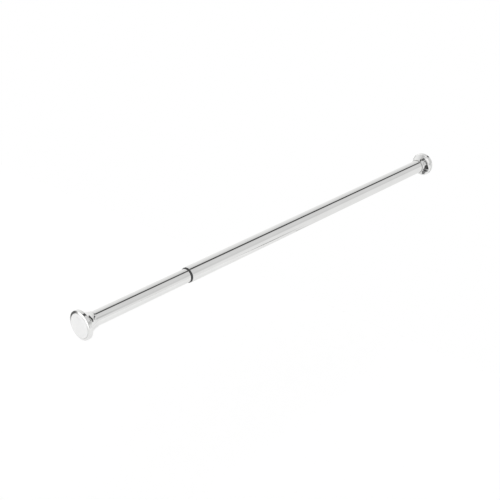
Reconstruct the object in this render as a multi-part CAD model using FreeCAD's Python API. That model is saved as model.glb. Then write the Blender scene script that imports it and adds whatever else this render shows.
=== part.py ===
"""Telescopic doorway pull up bar: a screw inside two sliding tubes pushes two padded cups
against the sides of a door frame.

The axis of the bar is X.  The origin is the centre of the fixed pad's face, +X points out of
that face into the door frame, and the bar runs towards -X.  Sizes are in millimetres.
"""
import FreeCAD, Part
import math
import os

from FreeCAD import Vector

# Tubes
OUTER_TUBE_OD = 30.0
OUTER_TUBE_WALL = 1.2
OUTER_TUBE_LENGTH = 760.0
TUBE_GAP = 0.8                # radial gap between the tubes, filled by the bush and glide ring
INNER_TUBE_WALL = 1.2
TUBE_EDGE_RADIUS = 0.4
CLOSING_TRAVEL = 200.0        # from the length at rest to the shortest
OPENING_TRAVEL = 100.0        # from the length at rest to the longest
CLOSED_CUP_GAP = 7.0          # inner tube in sight when the bar is shortest
CLOSED_NUT_GAP = 6.9          # left between the nut and the spindle's collar then

# Pads and cups, the same at both ends
PAD_DIAMETER = 42.5
PAD_PROUD = 2.6               # pad that stands out of the cup
PAD_SEAT_DEPTH = 4.4          # pad that sits in the cup
PAD_CHAMFER = 0.7
PAD_EDGE_RADIUS = 0.5
SEAT_CLEARANCE = 0.1
CUP_RIM_FACE = 4.6            # width of the rim around the pad
CUP_RIM_RISE = 0.5            # how far that face leans back towards its outer edge
CUP_LENGTH = 27.7             # rim plane to the mouth of the neck
CUP_RIM_WIDTH = 7.2
CUP_FRONT_RADIUS = 0.8        # round of the rim's front edge
CUP_RIM_RADIUS = 1.3          # round of the rim's back edge
CUP_SEAT_EDGE_RADIUS = 0.5    # round where the rim meets the pad
CUP_WALL = 1.4
FLARE_STEP = 1.75             # step down from the rim to the flare
FLARE_SAG = 1.3               # hollow of the flare, measured from its chord
NECK_LENGTH = 2.6
NECK_WALL = 1.0
NECK_EDGE_RADIUS = 0.4
NECK_CLEARANCE = 0.3

# Swivel in each cup
HUB_DEPTH = 8.5
BOLT_DIAMETER = 8.0
BOLT_GRIP = 13.0              # length of bolt screwed into the end plug
BOLT_HEAD_DIAMETER = 14.0
BOLT_HEAD_HEIGHT = 4.5
BOLT_HEAD_CLEARANCE = 0.5
SOCKET_WIDTH = 6.0
SOCKET_DEPTH = 2.8
WASHER_STEP = 2.0             # washer smaller than the thin tube, all round
WASHER_THICKNESS = 1.5
END_PLAY = 0.2                # play along the bar of each part that turns against another
RUNNING_FIT = 0.1             # radial play of each part that turns or slides in its guide

# End plugs of the tubes
PLUG_FLANGE = 2.5
PLUG_FLANGE_STEP = 0.2        # plug flange smaller than its tube, all round
PLUG_WEB = 2.0                # solid metal behind the bolt
SEATED_FIT = 0.05             # radial gap of each part that is pressed or bonded in
PIN_DIAMETER = 4.0
PIN_DEPTH = 4.0
PIN_INSET = 6.0               # from the tube's end to the pins
PIN_SINK = 0.1                # pin heads below the tube's surface
PIN_COUNT = 2

# Screw
NUT_WALL = 3.75               # nut left around the thread
SCREW_PITCH = 4.0
THREAD_DEPTH = 2.25
THREAD_CREST_WIDTH = 1.46
THREAD_FLANK_ANGLE = 15.0     # degrees, each flank
THREAD_RADIAL_GAP = 0.3
THREAD_FLANK_GAP = 0.2
THREAD_LEAD_IN = 2.0          # plain core before the first turn
SHANK_DIAMETER = 12.0
SHANK_LENGTH = 16.0
SHANK_PIN_DIAMETER = 3.0
SHANK_PIN_WALL = 1.5          # plug left beyond each end of the shank's pin
COLLAR_STEP = 1.5             # collar larger than the thread, all round
COLLAR_LENGTH = 3.0
SPIGOT_STEP = 0.75            # spigot smaller than the thread's core, all round
SPIGOT_END_LAND = 1.5
STOP_WASHER_GAP = 1.3         # stop washer clear of the thin tube's bore, all round
STOP_WASHER_THICKNESS = 2.0
STOP_GAP = 1.0                # left between the nut and the stop at full opening

# Nut and glide ring
NUT_BODY_LENGTH = 28.0
NUT_SHOULDER = 3.0
NUT_EDGE_RADIUS = 0.5
JOURNAL_STEP = 2.5            # journal smaller than the shoulder, all round
JOURNAL_END_LAND = 1.5
GLIDE_RING_WIDTH = 10.0
GLIDE_SPLIT = 2.0
RIVET_DIAMETER = 4.0
RIVET_DEPTH = 2.6
RIVET_INSET = 9.0
RIVET_COUNT = 3

# Spring clips
CLIP_THICKNESS = 1.2
CLIP_HEIGHT = 1.6
CLIP_GROOVE_DEPTH = 0.8
CLIP_SLACK = 0.1
CLIP_MOUTH = 5.0

# Mouth bush
BUSH_LIP_THICKNESS = 3.0
BUSH_LIP_STEP = 0.3           # lip larger than the thick tube's bore, all round
BUSH_SLEEVE_LENGTH = 40.0
BUSH_EDGE_RADIUS = 0.4

# Stations measured from the pad face of the same end
PAD_BACK = PAD_PROUD + PAD_SEAT_DEPTH
HUB_BACK = PAD_BACK + HUB_DEPTH
WASHER_FRONT = HUB_BACK + END_PLAY
WASHER_BACK = WASHER_FRONT + WASHER_THICKNESS
TUBE_END = WASHER_BACK + PLUG_FLANGE
BOLT_END = WASHER_BACK + BOLT_GRIP
PLUG_CORE_END = BOLT_END + PLUG_WEB
RIM_BACK = PAD_PROUD + CUP_RIM_WIDTH
NECK_MOUTH = PAD_PROUD + CUP_LENGTH
NECK_START = NECK_MOUTH - NECK_LENGTH
HEAD_FRONT = PAD_BACK + BOLT_HEAD_CLEARANCE
HEAD_BACK = HEAD_FRONT + BOLT_HEAD_HEIGHT
HEAD_SEAT = HEAD_BACK + END_PLAY
PIN_STATION = TUBE_END + PIN_INSET

# Stations measured from the fixed pad's face, with the bar at rest
SHANK_END = PLUG_CORE_END + SHANK_LENGTH
THREAD_START = SHANK_END + COLLAR_LENGTH
NUT_FRONT = THREAD_START + CLOSED_NUT_GAP + CLOSING_TRAVEL
NUT_GROOVE_FRONT = NUT_FRONT + JOURNAL_END_LAND
NUT_GROOVE_BACK = NUT_GROOVE_FRONT + CLIP_SLACK + CLIP_THICKNESS
GLIDE_RING_FRONT = NUT_GROOVE_BACK + END_PLAY
GLIDE_RING_BACK = GLIDE_RING_FRONT + GLIDE_RING_WIDTH
SHOULDER_FRONT = GLIDE_RING_BACK + END_PLAY
INNER_TUBE_START = SHOULDER_FRONT + NUT_SHOULDER
NUT_END = INNER_TUBE_START + NUT_BODY_LENGTH
THREAD_END = NUT_END + OPENING_TRAVEL + STOP_GAP
STOP_WASHER_BACK = THREAD_END + STOP_WASHER_THICKNESS
SPIGOT_GROOVE_BACK = STOP_WASHER_BACK + CLIP_SLACK + CLIP_THICKNESS
SPIGOT_END = SPIGOT_GROOVE_BACK + SPIGOT_END_LAND
OUTER_MOUTH = TUBE_END + OUTER_TUBE_LENGTH
BUSH_END = OUTER_MOUTH + BUSH_LIP_THICKNESS
BAR_LENGTH = BUSH_END + CLOSED_CUP_GAP + CLOSING_TRAVEL + NECK_MOUTH
INNER_TUBE_END = BAR_LENGTH - TUBE_END

# Radii, from the outside in
OUTER_TUBE_RADIUS = OUTER_TUBE_OD / 2
OUTER_BORE = OUTER_TUBE_RADIUS - OUTER_TUBE_WALL
INNER_TUBE_RADIUS = OUTER_BORE - TUBE_GAP
INNER_BORE = INNER_TUBE_RADIUS - INNER_TUBE_WALL
NUT_BODY_RADIUS = INNER_BORE - SEATED_FIT
JOURNAL_RADIUS = INNER_TUBE_RADIUS - JOURNAL_STEP
SCREW_RADIUS = NUT_BODY_RADIUS - NUT_WALL
CORE_RADIUS = SCREW_RADIUS - THREAD_DEPTH
COLLAR_RADIUS = SCREW_RADIUS + COLLAR_STEP
SHANK_RADIUS = SHANK_DIAMETER / 2
SPIGOT_RADIUS = CORE_RADIUS - SPIGOT_STEP
STOP_WASHER_RADIUS = INNER_BORE - STOP_WASHER_GAP
PAD_RADIUS = PAD_DIAMETER / 2
SEAT_RADIUS = PAD_RADIUS + SEAT_CLEARANCE
CUP_RADIUS = SEAT_RADIUS + CUP_RIM_FACE
FLARE_TOP = CUP_RADIUS - FLARE_STEP
WASHER_RADIUS = INNER_TUBE_RADIUS - WASHER_STEP
BOLT_RADIUS = BOLT_DIAMETER / 2

# Width of the thread's ridge at its foot
ROOT_WIDTH = THREAD_CREST_WIDTH + 2 * THREAD_DEPTH * math.tan(math.radians(THREAD_FLANK_ANGLE))

BAR_AXIS = Vector(1, 0, 0)
CENTRE = Vector(0, 0, 0)


def place(station, radius):
    """Point of a half section: so far along the bar from the fixed pad's face, so far off axis."""
    return Vector(-station, radius, 0)


def round_corner(before, corner, after, radius):
    """Start, middle and end of the arc that rounds a corner."""
    back = (before - corner).normalize()
    onward = (after - corner).normalize()
    half_angle = back.getAngle(onward) / 2
    reach = radius / math.tan(half_angle)
    middle = corner + (back + onward).normalize() * (radius / math.sin(half_angle) - radius)
    return corner + back * reach, middle, corner + onward * reach


def lathe(outline):
    """Turn a closed outline about the bar's axis.

    A step is a corner (station, radius), a rounded corner (station, radius, rounding), or an arc
    from the step before: ((station, radius) of its middle, (station, radius) of its end).
    """
    start = place(*outline[0])
    pen = start
    edges = []
    for index, step in enumerate(outline[1:], 1):
        if isinstance(step[0], tuple):
            middle, end = place(*step[0]), place(*step[1])
            edges.append(Part.Arc(pen, middle, end).toShape())
            pen = end
            continue
        corner = place(step[0], step[1])
        if len(step) == 3:
            following = outline[(index + 1) % len(outline)]
            after = place(following[0], following[1])
            entry, middle, leave = round_corner(pen, corner, after, step[2])
            edges.append(Part.LineSegment(pen, entry).toShape())
            edges.append(Part.Arc(entry, middle, leave).toShape())
            pen = leave
        else:
            edges.append(Part.LineSegment(pen, corner).toShape())
            pen = corner
    edges.append(Part.LineSegment(pen, start).toShape())
    return Part.Face(Part.Wire(edges)).revolve(CENTRE, BAR_AXIS, 360)


def ring(front, back, inner, outer):
    """Plain ring, or a disc where the inner radius is 0."""
    return lathe([(front, inner), (front, outer), (back, outer), (back, inner)])


def cross_pin(station, diameter, inside, outside, angle):
    """Round pin square to the bar, between two distances from the axis."""
    pin = Part.makeCylinder(diameter / 2, outside - inside, Vector(-station, 0, inside))
    pin.rotate(CENTRE, BAR_AXIS, angle)
    return pin


def pin_ring(station, diameter, inside, outside, count):
    """Pins spread evenly around the axis, as one group of solids."""
    pins = []
    for index in range(count):
        pins.append(cross_pin(station, diameter, inside, outside, 360 * index / count))
    return Part.Compound(pins)


def hex_socket(front, depth, width):
    """Six-sided hole for a key, from a station inwards."""
    corner_radius = width / math.sqrt(3)
    corners = []
    for index in range(7):
        angle = math.radians(60 * index)
        corners.append(Vector(-front, corner_radius * math.cos(angle), corner_radius * math.sin(angle)))
    return Part.Face(Part.makePolygon(corners)).extrude(Vector(-depth, 0, 0))


def slot(front, back, width, reach):
    """Box that opens one side of a ring, to make it a split ring or a spring clip."""
    return Part.makeBox(back - front, width, reach, Vector(-back, -width / 2, 0))


def spring_clip(front, groove_radius):
    """Open spring clip in a groove."""
    back = front + CLIP_THICKNESS
    outer = groove_radius + CLIP_HEIGHT
    return ring(front, back, groove_radius, outer).cut(slot(front, back, CLIP_MOUTH, outer))


def half_turn(radius, height, second_half):
    """Half a turn of the screw's helix."""
    edge = Part.makeHelix(SCREW_PITCH, SCREW_PITCH / 2, radius)
    if second_half:
        edge.rotate(CENTRE, Vector(0, 0, 1), 180)
        edge.translate(Vector(0, 0, SCREW_PITCH / 2))
    edge.translate(Vector(0, 0, height))
    return edge.Edges[0]


def half_circle(radius, height, second_half):
    """Half of a level circle that starts where the helix does."""
    first = 180 if second_half else 0
    return Part.makeCircle(radius, Vector(0, 0, height), Vector(0, 0, 1), first, first + 180)


def threaded_rod(front, length, lead_in, radial_gap, flank_gap):
    """Right-hand threaded rod down the bar; its first turn starts at the front station.

    Plain core runs on past both ends of the thread.  The gaps make it larger all round, for
    cutting the thread of a nut.
    """
    core = CORE_RADIUS + radial_gap
    crest = SCREW_RADIUS + radial_gap
    root_half = ROOT_WIDTH / 2 + flank_gap
    crest_half = THREAD_CREST_WIDTH / 2 + flank_gap
    ridge = [(core, -root_half), (crest, -crest_half), (crest, crest_half), (core, root_half)]
    path = ridge + [(core, SCREW_PITCH - root_half)]
    turns = int((length - lead_in) // SCREW_PITCH)
    thread_top = SCREW_PITCH * turns
    faces = []
    for second_half in (False, True):
        for index in range(len(path) - 1):
            strip = Part.makeRuledSurface(half_turn(*path[index], second_half),
                                          half_turn(*path[index + 1], second_half))
            is_groove_floor = index == len(path) - 2
            for turn in range(turns - is_groove_floor):
                faces.append(strip.translated(Vector(0, 0, SCREW_PITCH * turn)))
        faces.append(Part.makeRuledSurface(half_circle(core, -lead_in, second_half),
                                           half_turn(core, -root_half, second_half)))
        faces.append(Part.makeRuledSurface(
            half_turn(core, thread_top - SCREW_PITCH + root_half, second_half),
            half_circle(core, length, second_half)))
    for height in (0, thread_top):
        corners = [Vector(radius, 0, height + rise) for radius, rise in ridge]
        faces.append(Part.Face(Part.makePolygon(corners + corners[:1])))
    for height in (-lead_in, length):
        halves = [half_circle(core, height, False), half_circle(core, height, True)]
        faces.append(Part.Face(Part.Wire(halves)))
    skin = Part.Compound(faces)
    skin.sewShape(1e-4)
    rod = Part.makeSolid(skin.Shells[0])
    rod.rotate(CENTRE, Vector(0, 1, 0), -90)
    rod.translate(Vector(-front, 0, 0))
    return rod


def make_pad():
    """Grippy pad: a thick disc with a chamfered edge, half sunk in its cup."""
    return lathe([(0, 0), (0, PAD_RADIUS - PAD_CHAMFER, PAD_EDGE_RADIUS),
                  (PAD_CHAMFER, PAD_RADIUS, PAD_EDGE_RADIUS), (PAD_BACK, PAD_RADIUS), (PAD_BACK, 0)])


def flare_inside(radius, neck_outside):
    """Station at which the hollow inside the cup's flare has a radius."""
    slope = (neck_outside - FLARE_TOP) / (NECK_START - RIM_BACK)
    sink = (FLARE_SAG + CUP_WALL) * math.hypot(1, slope)
    return RIM_BACK + (radius - FLARE_TOP + sink) / slope


def make_cup(tube_radius):
    """Trumpet-shaped cup: a thick rounded rim, a hollow flare and a short neck on the tube."""
    neck_bore = tube_radius + NECK_CLEARANCE
    neck_outside = neck_bore + NECK_WALL
    run = NECK_START - RIM_BACK
    drop = FLARE_TOP - neck_outside
    chord = math.hypot(run, drop)
    flare_middle = ((RIM_BACK + NECK_START) / 2 - FLARE_SAG * drop / chord,
                    (FLARE_TOP + neck_outside) / 2 - FLARE_SAG * run / chord)
    return lathe([(flare_inside(SEAT_RADIUS, neck_outside), SEAT_RADIUS),
                  (PAD_PROUD, SEAT_RADIUS, CUP_SEAT_EDGE_RADIUS),
                  (PAD_PROUD + CUP_RIM_RISE, CUP_RADIUS, CUP_FRONT_RADIUS),
                  (RIM_BACK, CUP_RADIUS, CUP_RIM_RADIUS), (RIM_BACK, FLARE_TOP),
                  (flare_middle, (NECK_START, neck_outside)),
                  (NECK_MOUTH, neck_outside, NECK_EDGE_RADIUS),
                  (NECK_MOUTH, neck_bore, NECK_EDGE_RADIUS),
                  (flare_inside(neck_bore, neck_outside), neck_bore)])


def make_hub(tube_radius):
    """Hub that fills the cup behind the pad and turns on the pivot bolt."""
    neck_outside = tube_radius + NECK_CLEARANCE + NECK_WALL
    rim_radius = SEAT_RADIUS - SEATED_FIT
    cone_front = flare_inside(SEAT_RADIUS, neck_outside) - SEATED_FIT
    cone_length = flare_inside(tube_radius, neck_outside) - cone_front
    back_radius = rim_radius - (HUB_BACK - cone_front) * (rim_radius - tube_radius) / cone_length
    head_hole = BOLT_HEAD_DIAMETER / 2 + BOLT_HEAD_CLEARANCE
    bolt_hole = BOLT_RADIUS + RUNNING_FIT
    return lathe([(PAD_BACK, head_hole), (PAD_BACK, rim_radius), (cone_front, rim_radius),
                  (HUB_BACK, back_radius - SEATED_FIT), (HUB_BACK, bolt_hole),
                  (HEAD_SEAT, bolt_hole), (HEAD_SEAT, head_hole)])


def make_pivot_bolt():
    """Socket-head bolt through hub and washer into the end plug."""
    head_radius = BOLT_HEAD_DIAMETER / 2
    bolt = lathe([(HEAD_FRONT, 0), (HEAD_FRONT, head_radius, NUT_EDGE_RADIUS), (HEAD_BACK, head_radius),
                  (HEAD_BACK, BOLT_RADIUS), (BOLT_END, BOLT_RADIUS), (BOLT_END, 0)])
    return bolt.cut(hex_socket(HEAD_FRONT, SOCKET_DEPTH, SOCKET_WIDTH))


def make_end_plug(tube_radius, bore, back):
    """Steel plug pinned in the end of a tube, drilled for the pivot bolt."""
    flange = tube_radius - PLUG_FLANGE_STEP
    body = bore - SEATED_FIT
    return lathe([(WASHER_BACK, BOLT_RADIUS), (WASHER_BACK, flange), (TUBE_END, flange),
                  (TUBE_END, body), (back, body, NUT_EDGE_RADIUS), (back, 0), (BOLT_END, 0),
                  (BOLT_END, BOLT_RADIUS)])


def make_tube(front, back, outside, bore):
    """Drawn tube with broken edges."""
    return lathe([(front, bore), (front, outside, TUBE_EDGE_RADIUS), (back, outside, TUBE_EDGE_RADIUS),
                  (back, bore)])


def to_free_end(shape):
    """Turn a shape made at the fixed end around, to the free end."""
    turned = shape.copy()
    turned.rotate(CENTRE, Vector(0, 0, 1), 180)
    turned.translate(Vector(-BAR_LENGTH, 0, 0))
    return turned


def end_fitting(side, tube_name, tube_radius, bore, plug_back):
    """Everything at one end of the bar, made at the fixed end's place."""
    pins = pin_ring(PIN_STATION, PIN_DIAMETER, bore - PIN_DEPTH, tube_radius - PIN_SINK, PIN_COUNT)
    return {
        side + "_pad": make_pad(),
        side + "_cup": make_cup(tube_radius),
        side + "_hub": make_hub(tube_radius),
        side + "_pivot_bolt": make_pivot_bolt(),
        side + "_thrust_washer": ring(WASHER_FRONT, WASHER_BACK, BOLT_RADIUS + RUNNING_FIT,
                                      WASHER_RADIUS),
        tube_name + "_plug_pins": pins,
        tube_name + "_end_plug": make_end_plug(tube_radius, bore, plug_back).cut(pins),
    }


def make_spindle():
    """Long threaded spindle: shank in the plug, collar, screw, and a spigot for the stop."""
    length = THREAD_END - THREAD_START - THREAD_LEAD_IN
    rod = threaded_rod(THREAD_START + THREAD_LEAD_IN, length, THREAD_LEAD_IN, 0, 0)
    shank = lathe([(PLUG_CORE_END, 0), (PLUG_CORE_END, SHANK_RADIUS, NUT_EDGE_RADIUS),
                   (SHANK_END, SHANK_RADIUS), (SHANK_END, COLLAR_RADIUS),
                   (THREAD_START, COLLAR_RADIUS), (THREAD_START, 0)])
    groove = SPIGOT_RADIUS - CLIP_GROOVE_DEPTH
    spigot = lathe([(THREAD_END, 0), (THREAD_END, SPIGOT_RADIUS), (STOP_WASHER_BACK, SPIGOT_RADIUS),
                    (STOP_WASHER_BACK, groove), (SPIGOT_GROOVE_BACK, groove),
                    (SPIGOT_GROOVE_BACK, SPIGOT_RADIUS), (SPIGOT_END, SPIGOT_RADIUS, NUT_EDGE_RADIUS),
                    (SPIGOT_END, 0)])
    return rod.fuse([shank, spigot])


def make_nut():
    """Nut: journal for the glide ring, shoulder on the tube's end, body in the tube."""
    groove = JOURNAL_RADIUS - CLIP_GROOVE_DEPTH
    blank = lathe([(NUT_FRONT, 0), (NUT_FRONT, JOURNAL_RADIUS, NUT_EDGE_RADIUS),
                   (NUT_GROOVE_FRONT, JOURNAL_RADIUS), (NUT_GROOVE_FRONT, groove),
                   (NUT_GROOVE_BACK, groove), (NUT_GROOVE_BACK, JOURNAL_RADIUS),
                   (SHOULDER_FRONT, JOURNAL_RADIUS), (SHOULDER_FRONT, INNER_TUBE_RADIUS, NUT_EDGE_RADIUS),
                   (INNER_TUBE_START, INNER_TUBE_RADIUS), (INNER_TUBE_START, NUT_BODY_RADIUS),
                   (NUT_END, NUT_BODY_RADIUS, NUT_EDGE_RADIUS), (NUT_END, 0)])
    first_turn = THREAD_START + THREAD_LEAD_IN
    turns_to_nut = (NUT_FRONT - first_turn) // SCREW_PITCH
    tap_front = first_turn + SCREW_PITCH * (turns_to_nut - 1)
    tap_length = NUT_END - tap_front + 3 * SCREW_PITCH
    return blank.cut(threaded_rod(tap_front, tap_length, SCREW_PITCH, THREAD_RADIAL_GAP, THREAD_FLANK_GAP))


def make_glide_ring():
    """Split ring that keeps the inner tube in the middle of the outer one."""
    whole = ring(GLIDE_RING_FRONT, GLIDE_RING_BACK, JOURNAL_RADIUS + RUNNING_FIT, OUTER_BORE - RUNNING_FIT)
    return whole.cut(slot(GLIDE_RING_FRONT, GLIDE_RING_BACK, GLIDE_SPLIT, OUTER_BORE))


def make_mouth_bush():
    """Bush pressed into the outer tube's mouth, with a lip that shows as a dark ring."""
    bore = INNER_TUBE_RADIUS + RUNNING_FIT
    sleeve = OUTER_BORE - SEATED_FIT
    lip = OUTER_BORE + BUSH_LIP_STEP
    return lathe([(OUTER_MOUTH - BUSH_SLEEVE_LENGTH, bore), (OUTER_MOUTH - BUSH_SLEEVE_LENGTH, sleeve),
                  (OUTER_MOUTH, sleeve), (OUTER_MOUTH, lip), (BUSH_END, lip, BUSH_EDGE_RADIUS),
                  (BUSH_END, bore)])


def make_screw_parts():
    """Spindle with its pin and stop, the nut with its rivets, and the glide ring with its clip."""
    pin_reach = OUTER_BORE - SHANK_PIN_WALL
    spindle_pin = cross_pin(PLUG_CORE_END + SHANK_LENGTH / 2, SHANK_PIN_DIAMETER, -pin_reach, pin_reach, 45)
    rivets = pin_ring(INNER_TUBE_START + RIVET_INSET, RIVET_DIAMETER, INNER_BORE - RIVET_DEPTH,
                      INNER_TUBE_RADIUS - PIN_SINK, RIVET_COUNT)
    return {
        "spindle": make_spindle().cut(spindle_pin),
        "spindle_pin": spindle_pin,
        "stop_washer": ring(THREAD_END, STOP_WASHER_BACK, SPIGOT_RADIUS, STOP_WASHER_RADIUS),
        "stop_clip": spring_clip(STOP_WASHER_BACK, SPIGOT_RADIUS - CLIP_GROOVE_DEPTH),
        "spindle_nut": make_nut().cut(rivets),
        "nut_rivets": rivets,
        "glide_ring": make_glide_ring(),
        "glide_ring_clip": spring_clip(NUT_GROOVE_FRONT, JOURNAL_RADIUS - CLIP_GROOVE_DEPTH),
    }


def build_bar():
    """All the parts of the bar by name."""
    parts = end_fitting("fixed", "outer", OUTER_TUBE_RADIUS, OUTER_BORE, SHANK_END)
    free_end = end_fitting("free", "inner", INNER_TUBE_RADIUS, INNER_BORE, PLUG_CORE_END)
    for name, shape in free_end.items():
        parts[name] = to_free_end(shape)
    parts.update(make_screw_parts())
    shank_hole = ring(PLUG_CORE_END, SHANK_END, 0, SHANK_RADIUS)
    parts["outer_end_plug"] = parts["outer_end_plug"].cut([shank_hole, parts["spindle_pin"]])
    outer_tube = make_tube(TUBE_END, OUTER_MOUTH, OUTER_TUBE_RADIUS, OUTER_BORE)
    parts["outer_tube"] = outer_tube.cut(parts["outer_plug_pins"])
    inner_tube = make_tube(INNER_TUBE_START, INNER_TUBE_END, INNER_TUBE_RADIUS, INNER_BORE)
    parts["inner_tube"] = inner_tube.cut([parts["nut_rivets"], parts["inner_plug_pins"]])
    parts["mouth_bush"] = make_mouth_bush()
    return parts


os.makedirs("parts", exist_ok=True)
for part_name, part_shape in build_bar().items():
    part_shape.exportStep("parts/" + part_name + ".step")
print("bar length at rest", round(BAR_LENGTH, 2))
print("shortest", round(BAR_LENGTH - CLOSING_TRAVEL, 2), "longest", round(BAR_LENGTH + OPENING_TRAVEL, 2))
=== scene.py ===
# %% [markdown]
# # A telescopic doorway bar, dressed in Blender
# The solids come packed in one frame: metres, +Z up, with the bar lying along X. The thick tube's pad
# ends at the origin and the thin tube runs out towards -X, with a cup and a rubber pad on each end. This
# notebook leaves the solids where they are and gives them their finishes: chrome plate, nylon, steel and
# brass. The two rubber pads are the only soft parts, so they are modelled anew.

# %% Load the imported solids
import math

import bpy
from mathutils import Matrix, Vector


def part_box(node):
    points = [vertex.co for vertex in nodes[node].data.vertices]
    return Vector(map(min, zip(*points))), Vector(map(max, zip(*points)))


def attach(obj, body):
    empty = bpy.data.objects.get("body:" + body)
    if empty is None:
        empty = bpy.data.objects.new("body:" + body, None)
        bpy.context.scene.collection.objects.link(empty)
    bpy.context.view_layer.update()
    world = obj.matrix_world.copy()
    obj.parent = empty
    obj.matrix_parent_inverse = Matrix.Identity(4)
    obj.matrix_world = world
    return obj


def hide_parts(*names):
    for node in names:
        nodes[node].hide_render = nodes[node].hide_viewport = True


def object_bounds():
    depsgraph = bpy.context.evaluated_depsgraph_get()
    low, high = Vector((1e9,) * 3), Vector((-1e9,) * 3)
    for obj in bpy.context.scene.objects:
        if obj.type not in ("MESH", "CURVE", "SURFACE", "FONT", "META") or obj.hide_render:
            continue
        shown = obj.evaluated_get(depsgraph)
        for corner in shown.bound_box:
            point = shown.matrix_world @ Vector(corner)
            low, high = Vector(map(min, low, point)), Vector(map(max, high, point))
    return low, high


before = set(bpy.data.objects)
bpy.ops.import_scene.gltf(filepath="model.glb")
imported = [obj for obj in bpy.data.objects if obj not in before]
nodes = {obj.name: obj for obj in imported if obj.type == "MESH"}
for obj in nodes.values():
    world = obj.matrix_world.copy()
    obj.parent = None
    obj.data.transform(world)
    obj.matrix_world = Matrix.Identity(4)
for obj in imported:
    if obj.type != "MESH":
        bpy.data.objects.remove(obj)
cad_low, cad_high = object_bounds()
print(len(nodes), "solids from", tuple(cad_low), "to", tuple(cad_high))

# %% [markdown]
# The bar is more than thirty times as long as it is thick, so it is easiest to look at along its length.
# The camera stands a little beyond the thin tube's end, to one side and above, and a long lens keeps the
# two ends near their real proportions. Its place is given from the thin end, so it follows the bar.

# %% Camera
MM = 0.001
CAMERA_FROM_THIN_END = Vector((-0.6745, -0.9888, 0.7024))    # metres
CAMERA_TURN = math.radians(-47.52)      # from +Y, turned right
CAMERA_DOWN = math.radians(25.935)
CAMERA_LENS = 61.2

thin_end = Vector((cad_low.x, 0, 0))
camera = bpy.data.objects.new("studio_camera", bpy.data.cameras.new("studio_camera"))
bpy.context.scene.collection.objects.link(camera)
camera.location = thin_end + CAMERA_FROM_THIN_END
camera.rotation_euler = (math.pi / 2 - CAMERA_DOWN, 0, CAMERA_TURN)
camera.data.lens = CAMERA_LENS
bpy.context.scene.camera = camera
print("camera at", tuple(camera.location))


# %% [markdown]
# The room and every finish here are small networks of nodes. They could be joined by hand in the shader
# editor, but in a script two helpers keep them short: one adds a node and fills its sockets, and one does
# a sum. A socket gets either a constant or the output of another node.

# %% Node helpers
def fill_socket(tree, socket, value):
    """Sets a constant, or wires in another node's output."""
    if isinstance(value, bpy.types.NodeSocket):
        tree.links.new(value, socket)
    else:
        socket.default_value = value


def add_node(tree, kind, **inputs):
    """New node; each keyword is a socket's name, or its number after a line, as in _1."""
    node = tree.nodes.new(kind)
    for name, value in inputs.items():
        key = int(name[1:]) if name.startswith("_") else name.replace("_", " ")
        fill_socket(tree, node.inputs[key], value)
    return node


def calculate(tree, operation, first, second=0.0):
    """Result of one sum on one or two numbers."""
    node = add_node(tree, "ShaderNodeMath", _0=first, _1=second)
    node.operation = operation
    return node.outputs["Value"]


print("node helpers ready")


# %% [markdown]
# A chrome bar mostly shows the room around it, so the room is designed first. It is a plain white studio:
# a wide white table far below the bar, and a white surround that stands brighter behind the bar than in
# front of it. Such a room could be built from panels and lamps, but a painted world is quicker, casts no
# stray shadows and reaches every reflection. The table runs from beyond the thin end to just short of
# the thick end, so that each cup also reflects what stands below, past the table's edges.

# %% Table paint
TABLE_WHITE = 0.97
TABLE_GLOW = 0.03                    # brings the lit white up to full white, in what rays see of it


def looking_ray(tree):
    """1 for the rays that look at a thing: from the camera, from a mirror or through clear material."""
    rays = add_node(tree, "ShaderNodeLightPath").outputs
    looking = calculate(tree, "MAXIMUM", rays["Is Camera Ray"], rays["Is Glossy Ray"])
    return calculate(tree, "MAXIMUM", looking, rays["Is Transmission Ray"])


def white_seen_by_rays():
    """Matt white that keeps the bar's shadow, with a faint glow for the rays that look at it."""
    paint = bpy.data.materials.new("table_white")
    paint.use_nodes = True
    tree = paint.node_tree
    shader = tree.nodes["Principled BSDF"]
    shader.inputs["Base Color"].default_value = (TABLE_WHITE, TABLE_WHITE, TABLE_WHITE, 1)
    shader.inputs["Roughness"].default_value = 1.0
    shader.inputs["Specular IOR Level"].default_value = 0.0
    shader.inputs["Emission Color"].default_value = (1, 1, 1, 1)
    glow = calculate(tree, "MULTIPLY", looking_ray(tree), TABLE_GLOW)
    tree.links.new(glow, shader.inputs["Emission Strength"])
    return paint


print("table paint ready")


# %% [markdown]
# The table itself is a plane, stretched to its size. It isn't part of the bar.

# %% Table
TABLE_DROP = 0.45                    # metres below the bar's middle
TABLE_PAST_THIN_END = 0.28
TABLE_LENGTH = 1.25
TABLE_WIDTH = 8.0


def add_table():
    """White table, well below the bar because a doorway bar hangs free."""
    bpy.ops.object.select_all(action="DESELECT")
    middle = cad_low.x - TABLE_PAST_THIN_END + TABLE_LENGTH / 2
    bpy.ops.mesh.primitive_plane_add(size=1, location=(middle, 0, -TABLE_DROP))
    table = bpy.context.object
    table.name = "studio_table"
    table.scale = (TABLE_LENGTH, TABLE_WIDTH, 1)
    bpy.ops.object.transform_apply(location=True, rotation=True, scale=True)
    table.data.materials.append(white_seen_by_rays())
    return table


table = add_table()
print("table from x =", round(min(point.co.x for point in table.data.vertices), 3), "at z =", -TABLE_DROP)


# %% [markdown]
# Painting needs two more helpers. One stretches a value between two limits, as a Map Range node does, and
# one blends two colours.

# %% Painting helpers
def between(tree, value, low, high, start=0.0, end=1.0):
    """Value from start..end stretched over low..high, and held at the ends."""
    node = add_node(tree, "ShaderNodeMapRange", Value=value, _1=start, _2=end, _3=low, _4=high)
    return node.outputs["Result"]


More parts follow.
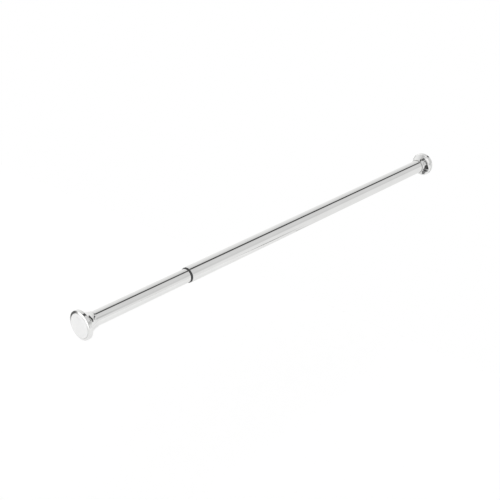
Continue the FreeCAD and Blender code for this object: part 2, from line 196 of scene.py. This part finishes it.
def mix_colour(tree, share, first, second):
    """Blend of two colours, each a constant or another node's output."""
    node = tree.nodes.new("ShaderNodeMix")
    node.data_type = "RGBA"
    factor, first_socket, second_socket = node.inputs[0], node.inputs[6], node.inputs[7]
    fill_socket(tree, factor, share)
    for socket, colour in ((first_socket, first), (second_socket, second)):
        fill_socket(tree, socket, (*colour, 1) if isinstance(colour, tuple) else colour)
    return node.outputs[2]


print("painting helpers ready")

# %% [markdown]
# The surround is painted by the angle around an axis that lies almost along the bar. A tube reflects
# the room as long stripes, one for each such angle, so this paints the stripes directly: a darker front
# half, a light back half, and a narrow slit overhead, almost black, where two light panels don't quite
# meet. That slit is what draws the crisp dark line along a chrome tube. Only the part of it towards the
# thick end is dark; elsewhere another light fills most of it.

# %% Light of the panels
PANEL_TURN = math.radians(14.4)      # the panels hang a little askew of the bar
# degrees around the axis, from +Y up and over, and the brightness there
SURROUND = [(-180, 0.93), (-100, 0.96), (-50, 1.00), (-25, 1.10), (0, 1.08), (15, 1.03), (32, 0.95),
            (42, 0.89), (50, 0.82), (58, 0.79), (66, 0.78), (89, 0.77), (130, 0.80), (150, 0.745),
            (163, 0.745), (174, 0.89), (180, 0.93)]
SLIT = (66, 68, 86.5, 89)            # degrees: where the slit starts, is full, still full, and ends
SLIT_DARK = 0.115                    # what is left of the panels' light in the slit
SLIT_FILLED = 0.80                   # the same where the slit is filled
SLIT_FILL_FADES = (0.38, 0.46)       # X of a direction: filled below the first, dark above the second
print("surround stops:", len(SURROUND))


# %% [markdown]
# A colour ramp holds the stripes. It can't hold the slit as well, because the slit also changes along the
# bar, so the slit is cut in afterwards: two Map Range nodes give its edges, and a third gives its depth.

# %% Painting the surround
def turn_share(degrees):
    """Angle from -180 to 180 degrees as a share of the full turn."""
    return (degrees + 180) / 360


def paint_stripes(tree, angle):
    """Brightness of the panels by the angle around their axis."""
    share = between(tree, angle, 0.0, 1.0, -math.pi, math.pi)
    ramp = add_node(tree, "ShaderNodeValToRGB", Fac=share)
    stops = ramp.color_ramp.elements
    stops.remove(stops[-1])
    for index, (degrees, level) in enumerate(SURROUND):
        stop = stops[0] if index == 0 else stops.new(turn_share(degrees))
        stop.position = turn_share(degrees)
        stop.color = (level, level, level, 1)
    return ramp.outputs["Color"]


def paint_surround(tree, direction):
    """The stripes, and the slit cut into them."""
    level_turn = add_node(tree, "ShaderNodeVectorRotate", Vector=direction, Angle=PANEL_TURN)
    level_turn.rotation_type = "Z_AXIS"
    parts = add_node(tree, "ShaderNodeSeparateXYZ", Vector=level_turn.outputs["Vector"])
    angle = calculate(tree, "ARCTAN2", parts.outputs["Z"], parts.outputs["Y"])
    slit_start, slit_full, slit_leaves, slit_end = [math.radians(degrees) for degrees in SLIT]
    inside = calculate(tree, "MULTIPLY", between(tree, angle, 0.0, 1.0, slit_start, slit_full),
                       between(tree, angle, 1.0, 0.0, slit_leaves, slit_end))
    along = add_node(tree, "ShaderNodeSeparateXYZ", Vector=direction).outputs["X"]
    depth = between(tree, along, 1.0 - SLIT_FILLED, 1.0 - SLIT_DARK, *SLIT_FILL_FADES)
    left = calculate(tree, "SUBTRACT", 1.0, calculate(tree, "MULTIPLY", inside, depth))
    return mix_colour(tree, left, (0.0, 0.0, 0.0), paint_stripes(tree, angle))


print("surround painter ready")

# %% [markdown]
# Chrome that reflects only white looks like white paint. So a studio stands black and grey cards around
# it, and each card shows as a dark accent on a curved rim. A white card, brighter than the room, does the
# opposite and makes a clean highlight. Each one is a direction, a width, a height and a level; the shader
# multiplies the surround by that level inside it and fades out at the edge. Back is +Y and front is -Y.

# %% Cards
# azimuth from +Y towards +X, elevation, half width, half height, all in degrees, and the level
CARDS = {"low_back": (-22, -8.5, 18, 20.5, 0.14),
         "overhead": (132, 76, 56, 15, 0.19),
         "high_front": (170, 50, 18, 9, 0.45),
         "beside_thick_end": (81, -0.5, 16, 10.5, 0.07),
         "front_post": (176, 24, 6.5, 22, 0.30),
         "front_post_thick_side": (150, 32, 5, 16, 0.74),
         "front_thin_side": (-140, 3, 26, 17, 0.60),
         "low_front": (168, -20, 16, 26, 0.08),
         "low_front_thick_side": (149, -25, 7, 9, 0.25),
         "low_front_thin_side": (-176, -34, 12, 13, 0.40),
         "under_front": (138, -44, 16, 16, 0.21),
         "under_thick_end": (108, -58, 68, 13, 0.23),
         "white_back_thin_side": (-57, -13.5, 20, 15, 1.60),
         "white_high_front": (-158, 38, 13, 34, 1.38)}
print("cards:", list(CARDS))

# %% [markdown]
# A card is found as on a map: how far a direction lies across and up from the card's middle, in half
# widths and half heights. The sum of their cubes is 1 on the edge of a square with round corners, so one
# Map Range node gives the card and its soft edge.

# %% Painting the cards
CARD_EDGE = 0.35                     # how softly a card fades out; 0 is a hard edge
CARD_CORNER = 3.0                    # 2 makes an oval card, and more makes it squarer


def card_mask(tree, azimuth, elevation, card):
    """1 outside a card, and the card's own level inside it."""
    card_azimuth, card_elevation, half_width, half_height, level = card
    across = calculate(tree, "SUBTRACT", azimuth, math.radians(card_azimuth))
    across = calculate(tree, "WRAP", across, math.pi)
    across.node.inputs[2].default_value = -math.pi
    across = calculate(tree, "DIVIDE", across, math.radians(half_width))
    upward = calculate(tree, "SUBTRACT", elevation, math.radians(card_elevation))
    upward = calculate(tree, "DIVIDE", upward, math.radians(half_height))
    across, upward = [calculate(tree, "POWER", calculate(tree, "ABSOLUTE", way), CARD_CORNER)
                      for way in (across, upward)]
    reach = calculate(tree, "ADD", across, upward)
    return between(tree, reach, level, 1.0, 1.0 - CARD_EDGE, 1.0 + CARD_EDGE)


def paint_cards(tree, direction):
    """All the cards, as one factor."""
    parts = add_node(tree, "ShaderNodeSeparateXYZ", Vector=direction)
    azimuth = calculate(tree, "ARCTAN2", parts.outputs["X"], parts.outputs["Y"])
    elevation = calculate(tree, "ARCSINE", parts.outputs["Z"])
    factor = 1.0
    for card in CARDS.values():
        factor = calculate(tree, "MULTIPLY", card_mask(tree, azimuth, elevation, card), factor)
    return factor


print("card painter ready")

# %% [markdown]
# The background is pure white to the eye. Light Path tells which ray asks: the camera, a reflection and a
# clear material all see the white surround, and the reflections also see its stripes and cards. A matt
# surface takes one even level instead, so that colours show as they are written.

# %% World
DIFFUSE_LEVEL = 0.90                 # light of the room on matt surfaces


def build_world():
    """White surround, with panels and cards that only reflections see."""
    world = bpy.data.worlds.new("studio_surround")
    bpy.context.scene.world = world
    world.use_nodes = True
    tree = world.node_tree
    tree.nodes.clear()
    direction = add_node(tree, "ShaderNodeTexCoord").outputs["Generated"]
    mirrored = add_node(tree, "ShaderNodeLightPath").outputs["Is Glossy Ray"]
    even = (DIFFUSE_LEVEL, DIFFUSE_LEVEL, DIFFUSE_LEVEL)
    plain = mix_colour(tree, looking_ray(tree), even, (1.0, 1.0, 1.0))
    colour = mix_colour(tree, mirrored, plain, paint_surround(tree, direction))
    change = calculate(tree, "SUBTRACT", paint_cards(tree, direction), 1.0)
    strength = calculate(tree, "ADD", calculate(tree, "MULTIPLY", mirrored, change), 1.0)
    background = add_node(tree, "ShaderNodeBackground", Color=colour, Strength=strength)
    add_node(tree, "ShaderNodeOutputWorld", Surface=background.outputs["Background"])


build_world()
bpy.context.scene.view_settings.view_transform = "Standard"
print("world ready")

# %% [markdown]
# One wide soft lamp, high in front, rounds off the matt parts. It is hidden from reflections, because in
# chrome its disc would be a hot spot.

# %% Lamp
LAMP_STRENGTH = 0.45
LAMP_SPREAD = math.radians(90)
LAMP_TILT = (math.radians(38), 0, math.radians(-10))

lamp = bpy.data.objects.new("soft_lamp", bpy.data.lights.new("soft_lamp", "SUN"))
bpy.context.scene.collection.objects.link(lamp)
lamp.data.energy = LAMP_STRENGTH
lamp.data.angle = LAMP_SPREAD
lamp.rotation_euler = LAMP_TILT
lamp.visible_glossy = False
print("lamp", LAMP_STRENGTH)


# %% [markdown]
# Now the finishes. Each starts as a Principled shader with its constant values set on the sockets.
# Patterns read Object coordinates, which are in metres on the part itself, so a pattern keeps its real
# size and stays on the part when it moves.

# %% Start of a finish
def start_finish(name, metallic, **constants):
    """New material: its node tree and its Principled shader."""
    finish = bpy.data.materials.new(name)
    finish.use_nodes = True
    shader = finish.node_tree.nodes["Principled BSDF"]
    shader.inputs["Metallic"].default_value = metallic
    for socket, value in constants.items():
        shader.inputs[socket.replace("_", " ")].default_value = value
    return finish, finish.node_tree, shader


def part_place(tree, stretch=(1, 1, 1)):
    """Place on the part in metres, with each axis multiplied."""
    place = add_node(tree, "ShaderNodeTexCoord").outputs["Object"]
    return add_node(tree, "ShaderNodeMapping", Vector=place, Scale=stretch).outputs["Vector"]


def noise(tree, place, per_metre, detail):
    """Soft noise around 0.5, with so many grains to the metre."""
    node = add_node(tree, "ShaderNodeTexNoise", Vector=place, Scale=per_metre, Detail=detail)
    return node.outputs["Fac"]


print("start of a finish ready")


# %% [markdown]
# A pattern then goes to one or more of three places: the colour, which drifts between two tones, the
# roughness, which drifts too, and the relief. Relief as fine as this could be real geometry, but a Bump
# node gives the same look with no added faces.

# %% Colour, roughness and relief
def wire(tree, value, shader, socket):
    """Joins a pattern to one of the shader's sockets."""
    tree.links.new(value, shader.inputs[socket])


def two_tone(tree, shader, pattern, clean, film, fades=(0.35, 0.7)):
    """Base colour: clean where the pattern is under the first value, film where it is over the second."""
    wire(tree, mix_colour(tree, between(tree, pattern, 0, 1, *fades), clean, film), shader, "Base Color")


def drifting_roughness(tree, shader, pattern, low, high):
    """Roughness that passes from low to high through the middle of the pattern."""
    wire(tree, between(tree, pattern, low, high, 0.3, 0.7), shader, "Roughness")


def relief(tree, shader, height, depth):
    """Fine surface relief, depth in metres."""
    bump = add_node(tree, "ShaderNodeBump", Height=height, Distance=depth)
    wire(tree, bump.outputs["Normal"], shader, "Normal")


print("colour, roughness and relief ready")


# %% [markdown]
# Tubes and cups are steel under bright chrome plate. The plate copies the fine grain of the steel, and
# hands leave patches of haze. Both stay very weak, because the plate is still a mirror. One recipe serves
# both: it is given the function that draws the grain.

# %% Chrome plate
CHROME_DARK = (0.782, 0.782, 0.775)
CHROME_LIGHT = (0.815, 0.815, 0.808)
CHROME_EDGE_TINT = (0.885, 0.885, 0.88, 1)    # keeps the mirror below white at a glancing angle
HAZE_FADES = (0.4, 0.75)
GRAIN_FADES = (0.45, 0.75)
GRAIN_ROUGHNESS = 0.03               # the most that the grain adds


def chrome_finish(name, draw_grain, haze_per_metre, haze_roughness, grain_depth):
    """Chrome plate over a grain; haze_roughness is where it is clean and where it is hazed."""
    finish, tree, shader = start_finish(name, 1.0, Specular_Tint=CHROME_EDGE_TINT)
    grain = draw_grain(tree)
    haze = noise(tree, part_place(tree), haze_per_metre, 3.0)
    two_tone(tree, shader, haze, CHROME_LIGHT, CHROME_DARK)
    gloss = calculate(tree, "ADD", between(tree, haze, *haze_roughness, *HAZE_FADES),
                      between(tree, grain, 0.0, GRAIN_ROUGHNESS, *GRAIN_FADES))
    wire(tree, gloss, shader, "Roughness")
    relief(tree, shader, grain, grain_depth)
    return finish


print("chrome plate ready")


# %% [markdown]
# The tubes are drawn, which leaves faint lines along them. Noise stretched several hundredfold along X
# makes such lines, with no need for a long thin texture.

# %% Chrome of the tubes
LINES_ALONG = 0.6                    # grains of noise to the metre along the tube
LINES_ACROSS = 420                   # and across it


def drawn_lines(tree):
    """Faint lines along the bar."""
    return noise(tree, part_place(tree, (LINES_ALONG, LINES_ACROSS, LINES_ACROSS)), 1.0, 4.0)


finishes = {"chrome_tube": chrome_finish("chrome_tube", drawn_lines, haze_per_metre=22.0,
                                         haze_roughness=(0.02, 0.06), grain_depth=0.002 * MM)}
print("chrome_tube")


# %% [markdown]
# The cups are pressed or cast, then polished on a spindle and plated. Polishing leaves rings around the
# axis, so this noise reads only the distance along the axis and out from it.

# %% Chrome of the cups
POLISHING_RINGS = 900                # to the metre


def rings(tree, per_metre):
    """Fine rings on a turned part, the same all round the bar's axis."""
    parts = add_node(tree, "ShaderNodeSeparateXYZ", Vector=part_place(tree))
    flat = add_node(tree, "ShaderNodeCombineXYZ", Y=parts.outputs["Y"], Z=parts.outputs["Z"])
    radius = add_node(tree, "ShaderNodeVectorMath", _0=flat.outputs["Vector"])
    radius.operation = "LENGTH"
    along = calculate(tree, "MULTIPLY", parts.outputs["X"], per_metre)
    outward = calculate(tree, "MULTIPLY", radius.outputs["Value"], per_metre)
    place = add_node(tree, "ShaderNodeCombineXYZ", X=along, Y=outward)
    return noise(tree, place.outputs["Vector"], 1.0, 3.0)


def polishing_rings(tree):
    """The rings that the polishing wheel leaves."""
    return rings(tree, POLISHING_RINGS)


finishes["chrome_cup"] = chrome_finish("chrome_cup", polishing_rings, haze_per_metre=60.0,
                                       haze_roughness=(0.015, 0.05), grain_depth=0.0015 * MM)
print("chrome_cup")


# %% [markdown]
# The pads are pale moulded rubber, soft enough to grip a painted door frame. The mould was lightly
# blasted, so the skin has a fine pebble, which a cell pattern gives better than noise. Handling leaves
# it a shade darker here and there.

# %% Rubber of the pads
RUBBER_LIGHT = (0.925, 0.925, 0.921)
RUBBER_DARK = (0.895, 0.895, 0.891)
RUBBER_ROUGHNESS = (0.5, 0.64)       # where it is clean, and where it is handled
RUBBER_CLOUDS = 70.0                 # to the metre
RUBBER_PEBBLES = 1600.0
PEBBLE_DEPTH = 0.03 * MM


def pad_rubber_finish():
    """Pale rubber with a fine pebble and faint clouds."""
    finish, tree, shader = start_finish("pad_rubber", 0.0, Specular_IOR_Level=0.35, Sheen_Weight=0.05)
    place = part_place(tree)
    pebble = add_node(tree, "ShaderNodeTexVoronoi", Vector=place, Scale=RUBBER_PEBBLES)
    cloud = noise(tree, place, RUBBER_CLOUDS, 4.0)
    two_tone(tree, shader, cloud, RUBBER_LIGHT, RUBBER_DARK)
    drifting_roughness(tree, shader, cloud, *RUBBER_ROUGHNESS)
    relief(tree, shader, pebble.outputs["Distance"], PEBBLE_DEPTH)
    return finish


finishes["pad_rubber"] = pad_rubber_finish()
print("pad_rubber")


# %% [markdown]
# Black nylon, natural nylon and acetal are all injection moulded. They share one recipe: a base colour
# that drifts a little, a fine grain, and a gloss of their own.

# %% Moulded plastics
MOULD_GRAINS = 2200.0                # to the metre
MOULD_DRIFTS = 120.0


def moulded_finish(name, light, dark, roughness, grain_depth, shine):
    """Moulded plastic; the roughness drifts a little with the colour."""
    finish, tree, shader = start_finish(name, 0.0, Specular_IOR_Level=shine)
    place = part_place(tree)
    drift = noise(tree, place, MOULD_DRIFTS, 3.0)
    wire(tree, mix_colour(tree, drift, light, dark), shader, "Base Color")
    drifting_roughness(tree, shader, drift, roughness - 0.05, roughness + 0.07)
    relief(tree, shader, noise(tree, place, MOULD_GRAINS, 2.0), grain_depth)
    return finish


finishes["black_nylon"] = moulded_finish("black_nylon", (0.048, 0.048, 0.049), (0.034, 0.034, 0.035),
                                         roughness=0.42, grain_depth=0.015 * MM, shine=0.4)
finishes["hub_nylon"] = moulded_finish("hub_nylon", (0.27, 0.27, 0.28), (0.22, 0.22, 0.23),
                                       roughness=0.50, grain_depth=0.02 * MM, shine=0.4)
finishes["acetal"] = moulded_finish("acetal", (0.87, 0.86, 0.82), (0.81, 0.80, 0.75),
                                    roughness=0.28, grain_depth=0.008 * MM, shine=0.5)
print("black_nylon, hub_nylon, acetal")


# %% [markdown]
# Zinc plate is duller than chrome. It is a satin grey with a faint yellow or blue cast in patches, from
# the passivating dip, and a fine crystal sparkle. Cells of random grey make the sparkle.

# %% Zinc plate
ZINC_BLUE = (0.60, 0.62, 0.66)
ZINC_YELLOW = (0.66, 0.65, 0.58)
ZINC_SPARKLE = (0.72, 0.73, 0.74)
ZINC_CASTS = 90.0                    # to the metre
ZINC_CRYSTALS = 900.0
ZINC_GRAINS = 1500.0
ZINC_DEPTH = 0.006 * MM


def plated_steel_finish():
    """Satin zinc: a cast in patches, a sparkle from cell to cell."""
    finish, tree, shader = start_finish("plated_steel", 1.0)
    place = part_place(tree)
    crystal = add_node(tree, "ShaderNodeTexVoronoi", Vector=place, Scale=ZINC_CRYSTALS)
    cast = between(tree, noise(tree, place, ZINC_CASTS, 2.0), 0, 1, 0.4, 0.6)
    grey = add_node(tree, "ShaderNodeSeparateColor", Color=crystal.outputs["Color"]).outputs["Red"]
    tint = mix_colour(tree, cast, ZINC_BLUE, ZINC_YELLOW)
    wire(tree, mix_colour(tree, between(tree, grey, 0.0, 0.25), tint, ZINC_SPARKLE), shader, "Base Color")
    wire(tree, between(tree, grey, 0.24, 0.38), shader, "Roughness")
    relief(tree, shader, noise(tree, place, ZINC_GRAINS, 3.0), ZINC_DEPTH)
    return finish


finishes["plated_steel"] = plated_steel_finish()
print("plated_steel")


# %% [markdown]
# The spindle's thread is rolled and greased, the clips are blackened spring steel, and the nut is turned
# brass. Turned and rolled metal has lines around its axis, which rings gives. The colour drifts between
# clean metal and a darker film: grease on the screw, oxide on the clips, tarnish on the brass.

# %% Turned metals
TURNED_DEPTH = 0.006 * MM


def turned_finish(name, clean, film, roughness, lines_per_metre, patches_per_metre):
    """Bare metal with lines around its axis and a film in patches."""
    finish, tree, shader = start_finish(name, 1.0)
    lines = rings(tree, lines_per_metre)
    patches = noise(tree, part_place(tree), patches_per_metre, 4.0)
    two_tone(tree, shader, patches, clean, film, fades=(0.42, 0.68))
    drifting_roughness(tree, shader, lines, roughness - 0.08, roughness + 0.1)
    relief(tree, shader, lines, TURNED_DEPTH)
    return finish


finishes["screw_steel"] = turned_finish("screw_steel", (0.52, 0.52, 0.52), (0.30, 0.28, 0.25),
                                        roughness=0.30, lines_per_metre=2500, patches_per_metre=60)
finishes["spring_steel"] = turned_finish("spring_steel", (0.17, 0.17, 0.185), (0.07, 0.07, 0.08),
                                         roughness=0.36, lines_per_metre=3000, patches_per_metre=300)
finishes["nut_brass"] = turned_finish("nut_brass", (0.80, 0.61, 0.29), (0.55, 0.40, 0.19),
                                      roughness=0.26, lines_per_metre=2200, patches_per_metre=90)
print("screw_steel, spring_steel, nut_brass")

# %% [markdown]
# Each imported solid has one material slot, already named after its finish, so dressing is a loop: the
# solid's mesh and place aren't touched. Blender may have added a number to a name, so the name is cut at
# the dot.

# %% Dress the solids
for name, solid in nodes.items():
    slot = solid.material_slots[0]
    slot.material = finishes[slot.material.name.split(".")[0]]
    print(name, slot.material.name)


# %% [markdown]
# The real pad is a thick rubber disc pushed into its cup. Its edge is chamfered and softly rounded, and
# the gripping face lies a hair below a raised border, so that it seals against the door frame. It could
# be turned from a profile, but a disc that is extruded and inset needs fewer measures. Its width and
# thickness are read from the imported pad.

# %% Pad sizes
pad_low, pad_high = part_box("free_pad")
PAD_RADIUS = pad_high.z
PAD_CHAMFER = 1.7 * MM               # along the axis
PAD_SHOULDER = 2.8 * MM              # the same chamfer, inwards
PAD_BORDER = 1.5 * MM
PAD_BORDER_SLOPE = 0.5 * MM
PAD_FACE_DEPTH = 0.25 * MM
PAD_ROUND = 0.45 * MM
PAD_ROUND_STEPS = 4
PAD_SIDES = 128
ROUNDED_FROM = math.radians(15)      # an edge as sharp as this is rounded
SMOOTH_UP_TO = math.radians(35)      # faces that meet at less than this are shaded as one
pad_thickness = pad_high.x - pad_low.x
print("pad", round(2 * PAD_RADIUS / MM, 2), "mm wide and", round(pad_thickness / MM, 2), "mm thick")


# %% [markdown]
# Operators in edit mode act on what is selected. With a mouse a face would be clicked; here it is picked
# by its place and by the way it faces, which still works when a size changes.

# %% Selecting by place
NEARLY_NOTHING = 0.1 * MM
NEARLY_STRAIGHT = 0.99               # cosine of the angle to the axis


def select_faces(piece, wanted):
    """Goes into edit mode with only the faces selected whose centre and normal pass a test."""
    bpy.ops.object.mode_set(mode="OBJECT")
    for edge in piece.data.edges:
        edge.select = False
    for point in piece.data.vertices:
        point.select = False
    for face in piece.data.polygons:
        face.select = wanted(face.center, face.normal)
    bpy.ops.object.mode_set(mode="EDIT")
    bpy.ops.mesh.select_mode(type="FACE")


def front_cap(centre, normal):
    """True for the face that closes the pad's front: on the axis, and turned to -X."""
    on_the_axis = Vector((0, centre.y, centre.z)).length < NEARLY_NOTHING
    return on_the_axis and normal.x < -NEARLY_STRAIGHT


print("selection ready")


# %% [markdown]
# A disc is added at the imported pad's width. Its front is extruded and drawn in, which makes the chamfer,
# and two insets make the border and the face. A Bevel modifier then rounds the edges, as the mould does.

# %% Model one pad
def model_pad(name):
    """Rubber pad of the thin end, with its gripping face towards -X."""
    bpy.ops.object.select_all(action="DESELECT")
    body = pad_thickness - PAD_CHAMFER
    bpy.ops.mesh.primitive_cylinder_add(vertices=PAD_SIDES, radius=PAD_RADIUS, depth=body,
                                        location=(pad_high.x - body / 2, 0, 0),
                                        rotation=(0, math.pi / 2, 0))
    pad = bpy.context.object
    pad.name = name
    pad.data.name = name
    bpy.ops.object.transform_apply(location=True, rotation=True, scale=True)
    select_faces(pad, front_cap)
    bpy.ops.mesh.extrude_region_move(TRANSFORM_OT_translate={"value": (-PAD_CHAMFER, 0, 0)})
    narrower = (PAD_RADIUS - PAD_SHOULDER) / PAD_RADIUS
    bpy.ops.transform.resize(value=(1, narrower, narrower), center_override=(pad_low.x, 0, 0))
    bpy.ops.mesh.inset(thickness=PAD_BORDER)
    bpy.ops.mesh.inset(thickness=PAD_BORDER_SLOPE)
    bpy.ops.transform.translate(value=(PAD_FACE_DEPTH, 0, 0))
    bpy.ops.object.mode_set(mode="OBJECT")
    return pad


def round_pad(pad):
    """Rounds the pad's sharp edges and shades it smooth between them."""
    bevel = pad.modifiers.new("mould_rounds", "BEVEL")
    bevel.width = PAD_ROUND
    bevel.segments = PAD_ROUND_STEPS
    bevel.limit_method = "ANGLE"
    bevel.angle_limit = ROUNDED_FROM
    bpy.ops.object.modifier_apply(modifier=bevel.name)
    bpy.ops.object.shade_smooth_by_angle(angle=SMOOTH_UP_TO)


free_pad = model_pad("free_pad_rubber")
round_pad(free_pad)
print("free pad:", len(free_pad.data.polygons), "faces")


# %% [markdown]
# The other pad is the same moulding. A copy with its own mesh is turned half round about the upright
# axis, so that it faces +X, and its place is applied to the mesh.

# %% Copy the pad to the thick end
def copy_pad(pad, name):
    """The same pad at the thick tube's end, facing the other way."""
    bpy.ops.object.select_all(action="DESELECT")
    pad.select_set(True)
    bpy.context.view_layer.objects.active = pad
    bpy.ops.object.duplicate()
    twin = bpy.context.object
    twin.name = name
    twin.data.name = name
    twin.rotation_euler = (0, 0, math.pi)
    twin.location = (pad_low.x + cad_high.x, 0, 0)
    bpy.ops.object.transform_apply(location=True, rotation=True, scale=True)
    return twin


fixed_pad = copy_pad(free_pad, "fixed_pad_rubber")
fixed_pad_places = [point.co.x for point in fixed_pad.data.vertices]
print("fixed pad from x =", min(fixed_pad_places), "to", max(fixed_pad_places))

# %% [markdown]
# Each new pad takes the rubber finish, moves with the body that carries its cup, and stands in for the
# packed pad.

# %% Fit the pads
for pad, body, packed in ((free_pad, "free_end", "free_pad"), (fixed_pad, "fixed_end", "fixed_pad")):
    pad.data.materials.clear()
    pad.data.materials.append(finishes["pad_rubber"])
    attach(pad, body)
    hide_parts(packed)
    print(pad.name, "rides on", body)
